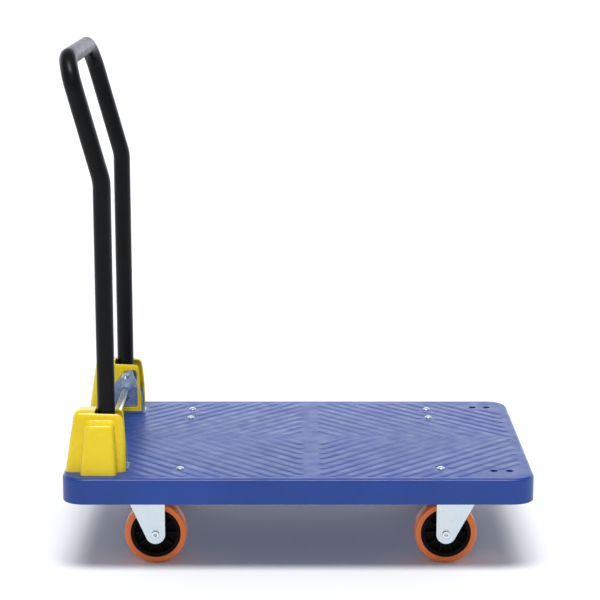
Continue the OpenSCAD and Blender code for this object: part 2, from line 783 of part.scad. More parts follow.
// Wheel hub about Y: rim, web, boss and radial stiffeners
module hub(front, left) {
    rim_r = wheel_r - tyre_t - fix_gap;
    rim_t = 6;
    rim_half = tyre_w / 2 - 1;
    boss_r = tube_bush_r + 6;
    stiffener_half = rim_half - 3;
    x = front ? front_x : rear_x;
    color([0.10, 0.10, 0.10]) side(left) translate([x, -wheel_y, wheel_r]) rotate([90, 0, 0])
        difference() {
            union() {
                translate([0, 0, -rim_half]) ring(rim_r - rim_t, rim_r, 2 * rim_half);
                translate([0, 0, -3]) cylinder(r = rim_r - rim_t / 2, h = 6);
                translate([0, 0, -boss_half]) cylinder(r = boss_r, h = 2 * boss_half);
                for (i = [0:9]) rotate(36 * i)
                    block([boss_r - 1, -1.2, -stiffener_half], [rim_r - rim_t / 2, 1.2, stiffener_half]);
            }
            translate([0, 0, -boss_half - over])
                cylinder(r = tube_bush_r + run_gap, h = 2 * (boss_half + over));
        }
}

// Tyre about Y, with round shoulders
module tyre(front, left) {
    r_in = wheel_r - tyre_t;
    half = tyre_w / 2;
    shoulder = 3;
    x = front ? front_x : rear_x;
    color([0.84, 0.42, 0.20]) side(left) translate([x, -wheel_y, wheel_r]) rotate([90, 0, 0])
        rotate_extrude($fn = 96) polygon(concat(
            [[r_in, half - 1], [r_in + 1, half]],
            arc([wheel_r - shoulder, half - shoulder], shoulder, 90, 0, 5),
            arc([wheel_r - shoulder, shoulder - half], shoulder, 0, -90, 5),
            [[r_in + 1, -half], [r_in, 1 - half]]));
}

// --- caster fasteners --------------------------------------------------------------------

// A copy at each place in plan
module at_places(places) {
    for (p = places) translate([p[0], p[1], 0]) children();
}

module caster_bolts() {
    tail = pad_depth + plate_t + small_washer_t + small_nut_h + thread_past_nut;
    color([0.84, 0.86, 0.88]) at_places(bolt_places) translate([0, 0, deck_top]) {
        dome_head(6, 2.8);
        translate([0, 0, -tail]) cylinder(r = plate_bolt_r, h = tail + 0.5);
    }
}

module caster_washers() {
    color([0.72, 0.74, 0.77]) at_places(bolt_places)
        translate([0, 0, plate_z - small_washer_t]) ring(plate_bolt_r + fix_gap, 6, small_washer_t);
}

module caster_nuts() {
    color([0.70, 0.72, 0.75]) at_places(bolt_places)
        translate([0, 0, plate_z - small_washer_t - small_nut_h])
            nut(small_nut_af, plate_bolt_r, small_nut_h);
}

module caster_screws() {
    head_t = 4;
    color([0.80, 0.82, 0.84]) at_places(screw_places) {
        translate([0, 0, plate_z - head_t]) hex(small_nut_af, head_t);
        translate([0, 0, plate_z - over]) cylinder(r = plate_bolt_r, h = plate_t + screw_depth + over);
    }
}

// --- the nodes ---------------------------------------------------------------------------

deck();
side(false) bracket();  // bracket_right
side(true) bracket();  // bracket_left
cover(false);  // cover_right
cover(true);  // cover_left
pivot_bolts();
pivot_washers();
pivot_nuts();
stop_pins();
bracket_bolts();
bracket_washers();
bracket_nuts();
release_spring(false);  // release_spring_right
release_spring(true);  // release_spring_left
cover_screws();
swivel_plate(false);  // swivel_plate_right
swivel_plate(true);  // swivel_plate_left
king_pins();
thrust_washers();
swivel_balls();
caster_bolts();
caster_washers();
caster_nuts();
caster_screws();
rigid_fork(false);  // rigid_fork_right
rigid_fork(true);  // rigid_fork_left
front_axles();
front_axle_tubes();
handle_tube();
handle_plugs();
pivot_bushes();
release_bar();
bar_clips();
swivel_fork(false);  // swivel_fork_right
swivel_fork(true);  // swivel_fork_left
rear_axle(false);  // rear_axle_right
rear_axle(true);  // rear_axle_left
rear_axle_tube(false);  // rear_axle_tube_right
rear_axle_tube(true);  // rear_axle_tube_left
hub(false, false);  // hub_rear_right
hub(false, true);  // hub_rear_left
hub(true, false);  // hub_front_right
hub(true, true);  // hub_front_left
tyre(false, false);  // tyre_rear_right
tyre(false, true);  // tyre_rear_left
tyre(true, false);  // tyre_front_right
tyre(true, true);  // tyre_front_left
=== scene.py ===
import json
import math

import bmesh
import bpy
from mathutils import Matrix, Vector


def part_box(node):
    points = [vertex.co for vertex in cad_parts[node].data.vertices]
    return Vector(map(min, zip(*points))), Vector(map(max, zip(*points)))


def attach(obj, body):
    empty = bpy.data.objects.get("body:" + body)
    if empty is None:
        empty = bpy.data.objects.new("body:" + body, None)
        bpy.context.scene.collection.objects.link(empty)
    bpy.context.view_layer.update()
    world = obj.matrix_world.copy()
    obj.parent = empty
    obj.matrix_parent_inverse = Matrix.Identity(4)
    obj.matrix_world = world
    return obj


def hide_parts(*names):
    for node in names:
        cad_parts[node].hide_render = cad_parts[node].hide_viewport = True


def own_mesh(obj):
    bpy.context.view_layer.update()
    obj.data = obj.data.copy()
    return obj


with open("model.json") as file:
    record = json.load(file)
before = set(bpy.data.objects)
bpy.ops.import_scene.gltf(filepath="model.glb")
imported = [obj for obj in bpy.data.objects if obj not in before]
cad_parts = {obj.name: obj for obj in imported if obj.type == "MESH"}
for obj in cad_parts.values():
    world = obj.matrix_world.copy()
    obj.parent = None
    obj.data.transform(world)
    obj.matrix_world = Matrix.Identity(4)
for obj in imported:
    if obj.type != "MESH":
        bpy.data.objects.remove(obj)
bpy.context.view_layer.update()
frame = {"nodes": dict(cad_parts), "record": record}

MM = 0.001
nodes = frame["nodes"]
deck_lo, deck_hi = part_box("deck")
TOP = deck_hi.z
SIDES = {"right": -1, "left": 1}
ENDS = ("rear", "front")
EDGE_WEAR_AND_SHEEN_R = 0.6 * MM          # how far the paler edges, wear together with a painted highlight, reach from a sharp edge
WELD_GAP = 0.002 * MM           # CAD vertices closer than this are one vertex


# --- materials ---------------------------------------------------------------------------

def map_range(tree, value, low, high, to_low, to_high):
    """Output of a node that takes low..high to to_low..to_high, held at both ends."""
    node = tree.nodes.new("ShaderNodeMapRange")
    for socket, number in zip(("From Min", "From Max", "To Min", "To Max"),
                              (low, high, to_low, to_high)):
        node.inputs[socket].default_value = number
    tree.links.new(value, node.inputs["Value"])
    return node.outputs["Result"]


class Shader:
    """A Principled material with short helpers for its texture nodes."""

    def __init__(self, name, roughness, metallic=0.0, level=0.5):
        self.material = bpy.data.materials.new(name)
        self.material.use_nodes = True
        self.tree = self.material.node_tree
        self.bsdf = self.tree.nodes["Principled BSDF"]
        self.set(self.bsdf, "Roughness", roughness)
        self.set(self.bsdf, "Metallic", metallic)
        self.set(self.bsdf, "Specular IOR Level", level)
        self.place = self.add("ShaderNodeTexCoord").outputs["Object"]

    def add(self, kind, **facts):
        node = self.tree.nodes.new(kind)
        for key, value in facts.items():
            setattr(node, key, value)
        return node

    def set(self, node, socket, value):
        node.inputs[socket].default_value = value

    def link(self, out, node, socket):
        self.tree.links.new(out, node.inputs[socket])

    def noise(self, scale, detail=3.0, stretch=(1, 1, 1), roughness=0.55):
        """Noise in the object's own metres, finer for a larger scale."""
        mapping = self.add("ShaderNodeMapping")
        self.set(mapping, "Scale", stretch)
        self.link(self.place, mapping, "Vector")
        noise = self.add("ShaderNodeTexNoise")
        self.set(noise, "Scale", scale)
        self.set(noise, "Detail", detail)
        self.set(noise, "Roughness", roughness)
        self.link(mapping.outputs["Vector"], noise, "Vector")
        return noise.outputs["Fac"]

    def remap(self, value, low, high, to_low=0.0, to_high=1.0):
        return map_range(self.tree, value, low, high, to_low, to_high)

    def blend(self, factor, colour_a, colour_b):
        """Mix of two colours, each a value or an output of another node."""
        node = self.add("ShaderNodeMix", data_type="RGBA")
        self.link(factor, node, "Factor")
        for socket, colour in (("A", colour_a), ("B", colour_b)):
            entry = [s for s in node.inputs if s.name == socket and s.type == "RGBA"][0]
            if isinstance(colour, tuple):
                entry.default_value = (*colour, 1)
            else:
                self.tree.links.new(colour, entry)
        return [s for s in node.outputs if s.type == "RGBA"][0]

    def bump(self, height, distance, strength):
        """Adds a bump on top of the ones already there."""
        node = self.add("ShaderNodeBump")
        self.set(node, "Strength", strength)
        self.set(node, "Distance", distance)
        self.link(height, node, "Height")
        previous = self.bsdf.inputs["Normal"].links
        if previous:
            self.tree.links.new(previous[0].from_socket, node.inputs["Normal"])
        self.link(node.outputs["Normal"], self.bsdf, "Normal")

    def colour(self, out):
        self.link(out, self.bsdf, "Base Color")

    def roughness(self, out):
        self.link(out, self.bsdf, "Roughness")

    def edges(self, radius):
        """1 along sharp edges, 0 on flats, from the normal of a rounded copy."""
        bevel = self.add("ShaderNodeBevel", samples=4)
        self.set(bevel, "Radius", radius)
        normal = self.add("ShaderNodeNewGeometry").outputs["True Normal"]
        dot = self.add("ShaderNodeVectorMath", operation="DOT_PRODUCT")
        self.link(bevel.outputs["Normal"], dot, 0)
        self.link(normal, dot, 1)
        return self.remap(dot.outputs["Value"], 0.995, 0.9)


def shade(colour, factor):
    """The colour made lighter or darker, with no channel over 1."""
    return tuple(min(1.0, c * factor) for c in colour)


def plastic(name, colour, roughness, grain, variation=0.10, level=0.5, scuffs=0.0, edge_wear_and_sheen=0.0):
    """Moulded plastic: faint flow marks, a spark-eroded grain, scuffs and pale edges that are wear
    together with a painted highlight.
    A larger grain number is a finer grain."""
    s = Shader(name, roughness, level=level)
    flow = s.remap(s.noise(7, 4), 0.35, 0.65)
    tint = s.blend(flow, shade(colour, 1 - variation), shade(colour, 1 + variation))
    speckle = s.remap(s.noise(420, 2), 0.62, 0.74, 0.0, 0.2)
    tint = s.blend(speckle, tint, shade(colour, 1.25))
    # Paler along sharp edges: worn edges together with a painted highlight
    if edge_wear_and_sheen:
        tint = s.blend(s.remap(s.edges(EDGE_WEAR_AND_SHEEN_R), 0, 1, 0, edge_wear_and_sheen), tint, shade(colour, 1.6))
    if scuffs:
        marks = s.remap(s.noise(22, 6, (1, 11, 1), 0.7), 0.66, 0.74, 0.0, scuffs)
        tint = s.blend(marks, tint, shade(colour, 1.5))
        crossing = s.remap(s.noise(18, 6, (13, 1, 1), 0.7), 0.68, 0.76, 0.0, scuffs)
        tint = s.blend(crossing, tint, shade(colour, 1.45))
    s.colour(tint)
    s.roughness(s.remap(s.noise(45, 5), 0.3, 0.7, roughness - 0.07, roughness + 0.07))
    s.bump(s.noise(60, 2), 0.05 * MM, 0.35)
    s.bump(s.noise(grain, 2), 0.04 * MM, 0.55)
    return s.material


def zinc(name, colour, roughness, streak=(1, 1, 1), blue=0.5):
    """Bright zinc plating: a blue and straw tint in clouds, fine drawing lines, dull spots.
    The lines run across the axes where streak is largest."""
    s = Shader(name, roughness, metallic=1.0)
    clouds = s.remap(s.noise(26, 4), 0.38, 0.66)
    cool = tuple(c * f for c, f in zip(colour, (1 - 0.10 * blue, 1 - 0.02 * blue, 1.03)))
    warm = tuple(c * f for c, f in zip(colour, (1.03, 1.0, 1 - 0.05 * blue)))
    tint = s.blend(clouds, cool, warm)
    dull = s.remap(s.noise(210, 3), 0.58, 0.72, 0.0, 0.5)
    s.colour(s.blend(dull, tint, shade(colour, 0.8)))
    lines = s.noise(320, 4, streak)
    s.roughness(s.remap(lines, 0.3, 0.7, roughness - 0.09, roughness + 0.11))
    s.bump(lines, 0.02 * MM, 0.5)
    return s.material


def powder_coat(name, colour, roughness):
    """Powder coat: an uneven tone, orange-peel ripple and a little gloss variation."""
    s = Shader(name, roughness, level=0.15)
    s.colour(s.blend(s.remap(s.noise(30, 4), 0.35, 0.65), shade(colour, 0.8), shade(colour, 1.3)))
    s.roughness(s.remap(s.noise(70, 4), 0.3, 0.7, roughness - 0.05, roughness + 0.09))
    s.bump(s.noise(240, 1), 0.05 * MM, 0.5)
    s.bump(s.noise(1500, 2), 0.015 * MM, 0.5)
    return s.material


def polyurethane(name, colour):
    """Cast polyurethane tread: slightly waxy, with dusty clouds and fine pits."""
    s = Shader(name, 0.42, level=0.45)
    s.set(s.bsdf, "Subsurface Weight", 0.08)
    s.set(s.bsdf, "Subsurface Radius", (0.004, 0.002, 0.001))
    dust = s.remap(s.noise(55, 5), 0.45, 0.72, 0.0, 0.45)
    tint = s.blend(dust, colour, tuple(c * f for c, f in zip(colour, (0.93, 1.0, 1.3))))
    pits = s.remap(s.noise(600, 2), 0.64, 0.72, 0.0, 0.4)
    s.colour(s.blend(pits, tint, shade(colour, 0.72)))
    s.roughness(s.remap(s.noise(90, 4), 0.3, 0.7, 0.34, 0.52))
    s.bump(s.noise(500, 2), 0.04 * MM, 0.5)
    return s.material


def floor_paint(name):
    """Matt off-white floor with very faint clouds."""
    s = Shader(name, 0.75, level=0.15)
    s.colour(s.blend(s.remap(s.noise(0.9, 3), 0.3, 0.7), (0.90, 0.905, 0.915), (0.93, 0.93, 0.935)))
    s.bump(s.noise(60, 2), 0.1 * MM, 0.2)
    return s.material


MATERIALS = {
    "deck_plastic": plastic("deck_plastic", (0.006, 0.042, 0.245), 0.36, 1500,
                            level=0.4, scuffs=0.07, edge_wear_and_sheen=0.5),
    "cover_plastic": plastic("cover_plastic", (0.77, 0.565, 0.005), 0.26, 1900, 0.05,
                             level=0.45, edge_wear_and_sheen=0.15),
    "zinc_plate": zinc("zinc_plate", (0.56, 0.66, 0.78), 0.28, (1, 1, 6), 1.0),
    "zinc_fork": zinc("zinc_fork", (0.68, 0.74, 0.76), 0.34, (1, 1, 5), 0.5),
    "zinc_bar": zinc("zinc_bar", (0.80, 0.83, 0.86), 0.26, (6, 1, 6), 0.6),
    "zinc_fastener": zinc("zinc_fastener", (0.90, 0.92, 0.93), 0.30, (3, 3, 3), 0.4),
    "spring_steel": zinc("spring_steel", (0.58, 0.59, 0.61), 0.32, (1, 1, 4), 0.2),
    "ball_steel": zinc("ball_steel", (0.80, 0.81, 0.83), 0.12, (1, 1, 1), 0.1),
    "handle_paint": powder_coat("handle_paint", (0.0028, 0.0028, 0.003), 0.35),
    "black_plastic": plastic("black_plastic", (0.010, 0.010, 0.0105), 0.42, 1500, level=0.2),
    "hub_plastic": plastic("hub_plastic", (0.005, 0.0047, 0.0047), 0.50, 1300, level=0.06),
    "tyre_orange": polyurethane("tyre_orange", (0.90, 0.20, 0.038)),
}


# --- mesh helpers ------------------------------------------------------------------------

def add_object(name, data):
    obj = bpy.data.objects.new(name, data)
    bpy.context.scene.collection.objects.link(obj)
    return obj


def mesh_from(work, name):
    """A new mesh from a bmesh, which is freed."""
    mesh = bpy.data.meshes.new(name)
    work.to_mesh(mesh)
    work.free()
    return mesh


def piece(name, verts, faces, body, slot_name, sharp):
    """A new piece of the object from points and faces, shaded smooth up to an angle."""
    mesh = bpy.data.meshes.new(name)
    mesh.from_pydata([tuple(v) for v in verts], [], faces)
    return finish_piece(name, mesh, body, slot_name, sharp)


def finish_piece(name, mesh, body, slot_name, sharp):
    """The mesh as a piece of the object, with its faces outwards, a body and a material slot."""
    work = bmesh.new()
    work.from_mesh(mesh)
    bmesh.ops.recalc_face_normals(work, faces=work.faces)
    work.to_mesh(mesh)
    work.free()
    mesh.shade_smooth()
    mesh.set_sharp_from_angle(angle=math.radians(sharp))
    mesh.materials.clear()
    mesh.materials.append(MATERIALS[slot_name])
    obj = add_object(name, mesh)
    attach(obj, body)
    return obj


def apply_modifiers(obj):
    """Gives the object the mesh that its modifiers make, and returns that mesh."""
    graph = bpy.context.evaluated_depsgraph_get()
    mesh = bpy.data.meshes.new_from_object(obj.evaluated_get(graph))
    obj.modifiers.clear()
    obj.data = mesh
    return mesh


def ring_frames(path):
    """Two directions across the path at each of its points, without twist."""
    count = len(path)
    ways = [(path[min(i + 1, count - 1)] - path[max(i - 1, 0)]).normalized() for i in range(count)]
    side = ways[0].orthogonal().normalized()
    frames = []
    for way in ways:
        side = (side - way * side.dot(way)).normalized()
        frames.append((side, way.cross(side)))
    return frames


def sweep(path, radius, sides, bore=0.0):
    """Points and faces of a round bar along a path, or of a tube when it has a bore."""
    verts = []
    faces = []
    frames = ring_frames(path)
    skins = [radius, bore] if bore else [radius]
    for skin in skins:
        for point, (a, b) in zip(path, frames):
            for k in range(sides):
                t = 2 * math.pi * k / sides
                verts.append(point + a * (skin * math.cos(t)) + b * (skin * math.sin(t)))
    last = len(path) - 1
    for layer in range(len(skins)):
        base = layer * len(path) * sides
        for i in range(last):
            for k in range(sides):
                n = (k + 1) % sides
                low = base + i * sides
                faces.append((low + k, low + n, low + sides + n, low + sides + k))
    for i in (0, last):
        low = i * sides
        if bore:
            inner = len(path) * sides + low
            faces += [(low + k, low + (k + 1) % sides, inner + (k + 1) % sides, inner + k)
                      for k in range(sides)]
        else:
            faces.append(tuple(low + k for k in range(sides)))
    return verts, faces


def lathe(profile, centre, segments):
    """Points and faces of a closed profile of (radius, y) turned about the Y axis at centre."""
    verts = []
    faces = []
    count = len(profile)
    for i in range(segments):
        t = 2 * math.pi * i / segments
        verts += [centre + Vector((r * math.cos(t), y, r * math.sin(t))) for r, y in profile]
    for i in range(segments):
        here = i * count
        there = (i + 1) % segments * count
        for k in range(count):
            n = (k + 1) % count
            faces.append((here + k, here + n, there + n, there + k))
    return verts, faces


def arc(cx, cy, r, a0, a1, steps):
    """Points on an arc in the plane, from angle a0 to a1 in degrees."""
    turns = [math.radians(a0 + (a1 - a0) * i / steps) for i in range(steps + 1)]
    return [(cx + r * math.cos(t), cy + r * math.sin(t)) for t in turns]


# --- carried-over CAD nodes --------------------------------------------------------------

SLOT_OF = {row["node"]: row["material_slot"] for row in frame["record"]["subparts"]}
for node_name, node in nodes.items():
    node.data.materials.clear()
    node.data.materials.append(MATERIALS[SLOT_OF[node_name]])

# Small rounding in mm along the edges of pressed, turned and moulded parts, by the node's name
# or the start of it
EDGE_ROUNDING = {
    "bracket": 0.5, "swivel_plate": 0.5, "swivel_fork": 0.7, "rigid_fork": 0.7, "hub": 0.6,
    "bracket_bolts": 0.5, "bracket_nuts": 0.4, "bracket_washers": 0.25, "pivot_bolts": 0.3,
    "pivot_nuts": 0.4, "pivot_washers": 0.25, "caster_bolts": 0.2, "caster_nuts": 0.4,
    "caster_washers": 0.2, "caster_screws": 0.4, "front_axles": 0.25, "rear_axle": 0.25,
    "release_bar": 0.6, "bar_clips": 0.2, "stop_pins": 0.4, "handle_plugs": 0.8,
}
for node_name, node in nodes.items():
    names = (node_name, node_name.rsplit("_", 1)[0], node_name.split("_")[0])
    rounding = next((EDGE_ROUNDING[n] for n in names if n in EDGE_ROUNDING), 0)
    if rounding:
        weld = node.modifiers.new("weld", "WELD")
        weld.merge_threshold = WELD_GAP
        flat = node.modifiers.new("flat faces", "DECIMATE")
        flat.decimate_type = "DISSOLVE"
        flat.angle_limit = math.radians(0.5)
        bevel = node.modifiers.new("rounding", "BEVEL")
        bevel.width = rounding * MM
        bevel.segments = 2
        bevel.limit_method = "ANGLE"
        bevel.angle_limit = math.radians(50)
        bevel.harden_normals = True
        bevel.miter_outer = "MITER_ARC"


# --- deck grip ribs ----------------------------------------------------------------------

RIB_PITCH = 28.3 * MM           # along X; 20 mm across the ribs
RIB_HALF = 6.6 * MM
RIB_H = 0.45 * MM
RIB_SUNK = 0.4 * MM
BORDER = 13 * MM                # smooth rim round the deck
BAND_X = 21 * MM                # middle of the smooth band across the deck
BAND_HALF = 11 * MM
BAR_HALF = (19 * MM, 5 * MM)    # the short smooth bar along the middle of the deck
STEP = 2 * MM                   # distance between two tests along a rib
SHORTEST = 3 * RIB_HALF
SPARE_HOLE_CLEAR = 11 * MM      # smooth circle round a spare hole, by its radius
BOLT_CLEAR = 9 * MM             # the same round a caster bolt
COVER_CLEAR = 3 * MM            # smooth strip round a cover
TIP_ANGLES = [math.radians(a) for a in (0, 35, 62, 82)]     # stations round a rib's end


def obstacles():
    """Circles and boxes in plan that the ribs stop short of."""
    circles = []
    spare = next(m for m in frame["record"]["mounts"] if m["name"] == "spare_bracket_holes")
    dx = spare["dims"]["spacing_x_mm"] / 2 * MM
    dy = spare["dims"]["spacing_y_mm"] / 2 * MM
    for x in (-dx, dx):
        for y in (-dy, dy):
            circles.append((Vector((spare["pos_m"][0] + x, y)), SPARE_HOLE_CLEAR))
    for loose in loose_parts("caster_bolts"):
        circles.append((loose, BOLT_CLEAR))
    boxes = []
    for side in SIDES:
        lo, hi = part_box("cover_" + side)
        boxes.append((lo.x, hi.x, lo.y, hi.y))
    return circles, boxes


def loose_parts(node_name):
    """Middle in plan of each separate solid of a CAD node."""
    work = bmesh.new()
    work.from_mesh(nodes[node_name].data)
    bmesh.ops.remove_doubles(work, verts=work.verts, dist=WELD_GAP)
    left = set(work.verts)
    middles = []
    while left:
        stack = [left.pop()]
        island = []
        while stack:
            vert = stack.pop()
            island.append(vert.co.copy())
            for edge in vert.link_edges:
                other = edge.other_vert(vert)
                if other in left:
                    left.remove(other)
                    stack.append(other)
        xs = [v.x for v in island]
        ys = [v.y for v in island]
        middles.append(Vector(((min(xs) + max(xs)) / 2, (min(ys) + max(ys)) / 2)))
    work.free()
    return middles


CIRCLES, BOXES = obstacles()


def rib_allowed(p):
    """Whether a rib may pass through this point of the deck."""
    inside = (deck_lo.x + BORDER + RIB_HALF < p.x < deck_hi.x - BORDER - RIB_HALF
              and deck_lo.y + BORDER + RIB_HALF < p.y < deck_hi.y - BORDER - RIB_HALF)
    off_band = abs(p.x - BAND_X) > BAND_HALF + RIB_HALF
    off_bar = abs(p.x - BAND_X) > BAR_HALF[0] + RIB_HALF or abs(p.y) > BAR_HALF[1] + RIB_HALF
    clear = all((p - c).length > r + RIB_HALF for c, r in CIRCLES)
    margin = COVER_CLEAR + RIB_HALF
    off_boxes = all(not (x0 - margin < p.x < x1 + margin and y0 - margin < p.y < y1 + margin)
                    for x0, x1, y0, y1 in BOXES)
    return inside and off_band and off_bar and clear and off_boxes


def rib_runs(corner, ends):
    """The allowed stretches of a V-shaped rib, as lists of points with the corner kept."""
    route = []
    for end, flip in ((ends[0], True), (ends[1], False)):
        count = max(2, round((end - corner).length / STEP))
        leg = [corner.lerp(end, i / count) for i in range(count + 1)]
        route += leg[::-1] if flip else leg[1:]
    runs = []
    run = []
    for p in route + [None]:
        if p is not None and rib_allowed(p):
            run.append(p)
        elif run:
            if (run[-1] - run[0]).length > SHORTEST:
                kept = [run[0], run[-1]]
                if corner in run[1:-1]:
                    kept.insert(1, corner)
                runs.append(kept)
            run = []
    return runs


# Across the rib in half widths, and up from the deck
RIB_SECTION = [(-1, -RIB_SUNK), (-1, 0), (-0.86, 0.62 * RIB_H), (-0.6, 0.94 * RIB_H), (0, RIB_H),
               (0.6, 0.94 * RIB_H), (0.86, 0.62 * RIB_H), (1, 0), (1, -RIB_SUNK)]


def rib_mesh(run, verts, faces):
    """One rib along 2 or 3 points, with rounded ends."""
    stations = []
    for k, p in enumerate(run):
        if 0 < k < len(run) - 1:
            before = (p - run[k - 1]).normalized()
            after = (run[k + 1] - p).normalized()
            along = (before + after).normalized()
            stations.append((p, along, 1 / along.dot(before)))
            continue
        other = run[1] if k == 0 else run[-2]
        away = (p - other).normalized()
        along = -away if k == 0 else away
        tip = [(p + away * (RIB_HALF * math.sin(a)), along, math.cos(a))
               for a in TIP_ANGLES]
        stations += tip[::-1] if k == 0 else tip
    first = len(verts)
    count = len(RIB_SECTION)
    for p, along, share in stations:
        across = Vector((-along.y, along.x))
        for u, h in RIB_SECTION:
            q = p + across * (u * RIB_HALF * share)
            lift = h * min(1, share) if h > 0 else h
            verts.append(Vector((q.x, q.y, TOP + lift)))
    for i in range(len(stations) - 1):
        for k in range(count):
            n = (k + 1) % count
            low = first + i * count
            faces.append((low + k, low + n, low + count + n, low + count + k))
    end = first + (len(stations) - 1) * count
    faces.append(tuple(first + k for k in range(count)))
    faces.append(tuple(end + k for k in range(count)))


def deck_grip():
    """Nested V-shaped ribs that open towards the smooth band across the deck."""
    verts = []
    faces = []
    reach = (deck_hi.x - deck_lo.x) / 2 + abs(BAND_X) + deck_hi.y
    for level in range(1, int(reach / RIB_PITCH) + 1):
        c = level * RIB_PITCH
        for way in (-1, 1):
            corner = Vector((BAND_X + way * c, 0))
            ends = [Vector((BAND_X, -c)), Vector((BAND_X, c))]
            for run in rib_runs(corner, ends):
                rib_mesh(run, verts, faces)
    return piece("deck_grip_ribs", verts, faces, "deck", "deck_plastic", 50)


deck_grip()


# --- covers ------------------------------------------------------------------------------

COVER_T = 3 * MM
POST_X = -303 * MM
POST_Y = 170 * MM
PIVOT_Z = 231 * MM
BULGE_OUT = 21 * MM
BULGE_BEFORE = 38 * MM          # from the post towards the handle end
BULGE_AFTER = 18 * MM
CUT_BELOW = 12 * MM
COVER_LIFT = 6 * MM             # from the deck to the edge of the inner face
BODY_TOP = (12, 0, 9)           # mm the body narrows to its top at -X, at +X and outside
BODY_TOP_INSIDE = 1 * MM
BODY_EDGE_R = 9 * MM
BODY_END_EDGE_R = 13 * MM       # along its top edge at +X
BULGE_TOP = (7, 4, 7)           # the same for the bulge over the post
BULGE_EDGE_R = 7 * MM
BULGE_DOWN = 15 * MM            # its top below the body's top
BULGE_INSIDE = 14 * MM          # how far it reaches into the body
VOXEL = 1.6 * MM
BLEND_STEPS = 14                # rounds of smoothing that blend body and bulge
SEAT_GAP = 0.05 * MM            # between the cover's lower edge and the deck
SLOT_BEFORE = 17 * MM           # from the post's axis to the slot's closed end
SLOT_OUTSIDE = 18.5 * MM        # from the post's axis to the slot's outer side
FACE_DEPTH = 1.5 * MM           # the window cuts no deeper than this from the inner face
# The window's outline in mm from the pivot, rounded at its two +X corners
WINDOW = [(-22, -56), (-22, -19), (0, 9)] + arc(14, 3, 8, 90, 0, 6) + arc(17, -51, 5, 0, -90, 4)


def tapered_block(work, x0, x1, y0, y1, z0, z1, top, r, end_r):
    """The hull of balls at the corners: smaller at its top by four margins, with an edge radius r,
    and end_r along the top edge at +X."""
    balls = []
    for x, y in ((x0 + r, y0 + r), (x1 - r, y0 + r), (x1 - r, y1 - r), (x0 + r, y1 - r)):
        balls.append((x, y, z0 + r, r))
    for x, ball_r in ((x0 + top[0] + r, r), (x1 - top[1] - end_r, end_r)):
        for y in (y0 + top[2] + ball_r, y1 - top[3] - ball_r):
            balls.append((x, y, z1 - ball_r, ball_r))
    verts = []
    for x, y, z, ball_r in balls:
        verts += bmesh.ops.create_uvsphere(work, u_segments=32, v_segments=16, radius=ball_r,
                                           matrix=Matrix.Translation((x, y, z)))["verts"]
    hull = bmesh.ops.convex_hull(work, input=verts)
    inside = {v for v in hull["geom_interior"] if isinstance(v, bmesh.types.BMVert)}
    bmesh.ops.delete(work, geom=list(inside), context="VERTS")


def cut_out(work, planes, within):
    """Cuts the faces whose middle is within the region along planes of (point, normal), and
    deletes those that lie behind all of the planes."""
    for point, normal in planes:
        near = [f for f in work.faces if within(f.calc_center_median())]
        border = {v for f in near for v in f.verts} | {e for f in near for e in f.edges}
        bmesh.ops.bisect_plane(work, geom=list(border) + near, plane_co=point, plane_no=normal,
                               dist=1e-7)
    doomed = [f for f in work.faces if within(f.calc_center_median()) and all(
        (f.calc_center_median() - point).dot(normal) < 0 for point, normal in planes)]
    bmesh.ops.delete(work, geom=doomed, context="FACES")


def window_planes(y):
    """The half-planes whose overlap is the window in the cover's inner face."""
    points = [Vector((POST_X + u * MM, y, PIVOT_Z + v * MM)) for u, v in WINDOW]
    middle = sum(points, Vector()) / len(points)
    planes = []
    for a, b in zip(points, points[1:] + points[:1]):
        normal = (b - a).cross(Vector((0, 1, 0))).normalized()
        if normal.dot(middle - a) > 0:
            normal = -normal
        planes.append((a, normal))
    return planes


def cover_form(x0, x1, y0, y1, top_z):
    """The outside of a cover as one closed form, carried on below the deck's top."""
    low = TOP - CUT_BELOW
    spread = 1 + CUT_BELOW / (top_z - TOP)
    work = bmesh.new()
    body_top = [m * spread * MM for m in BODY_TOP] + [BODY_TOP_INSIDE]
    grow = [m * (spread - 1) / spread for m in body_top]
    tapered_block(work, x0 - grow[0], x1 + grow[1], y0 - grow[2], y1, low, top_z,
                  body_top, BODY_EDGE_R, BODY_END_EDGE_R)
    bulge_top = [m * spread * MM for m in BULGE_TOP] + [0]
    grow = [m * (spread - 1) / spread for m in bulge_top]
    tapered_block(work, POST_X - BULGE_BEFORE - grow[0], POST_X + BULGE_AFTER + grow[1],
                  y0 - BULGE_OUT - grow[2], y0 + BULGE_INSIDE, low, top_z - BULGE_DOWN,
                  bulge_top, BULGE_EDGE_R, BULGE_EDGE_R)
    form = add_object("cover_work", mesh_from(work, "cover_work"))
    remesh = form.modifiers.new("remesh", "REMESH")
    remesh.mode = "VOXEL"
    remesh.voxel_size = VOXEL
    smooth = form.modifiers.new("smooth", "SMOOTH")
    smooth.factor = 0.5
    smooth.iterations = BLEND_STEPS
    mesh = apply_modifiers(form)
    bpy.data.objects.remove(form)
    return mesh


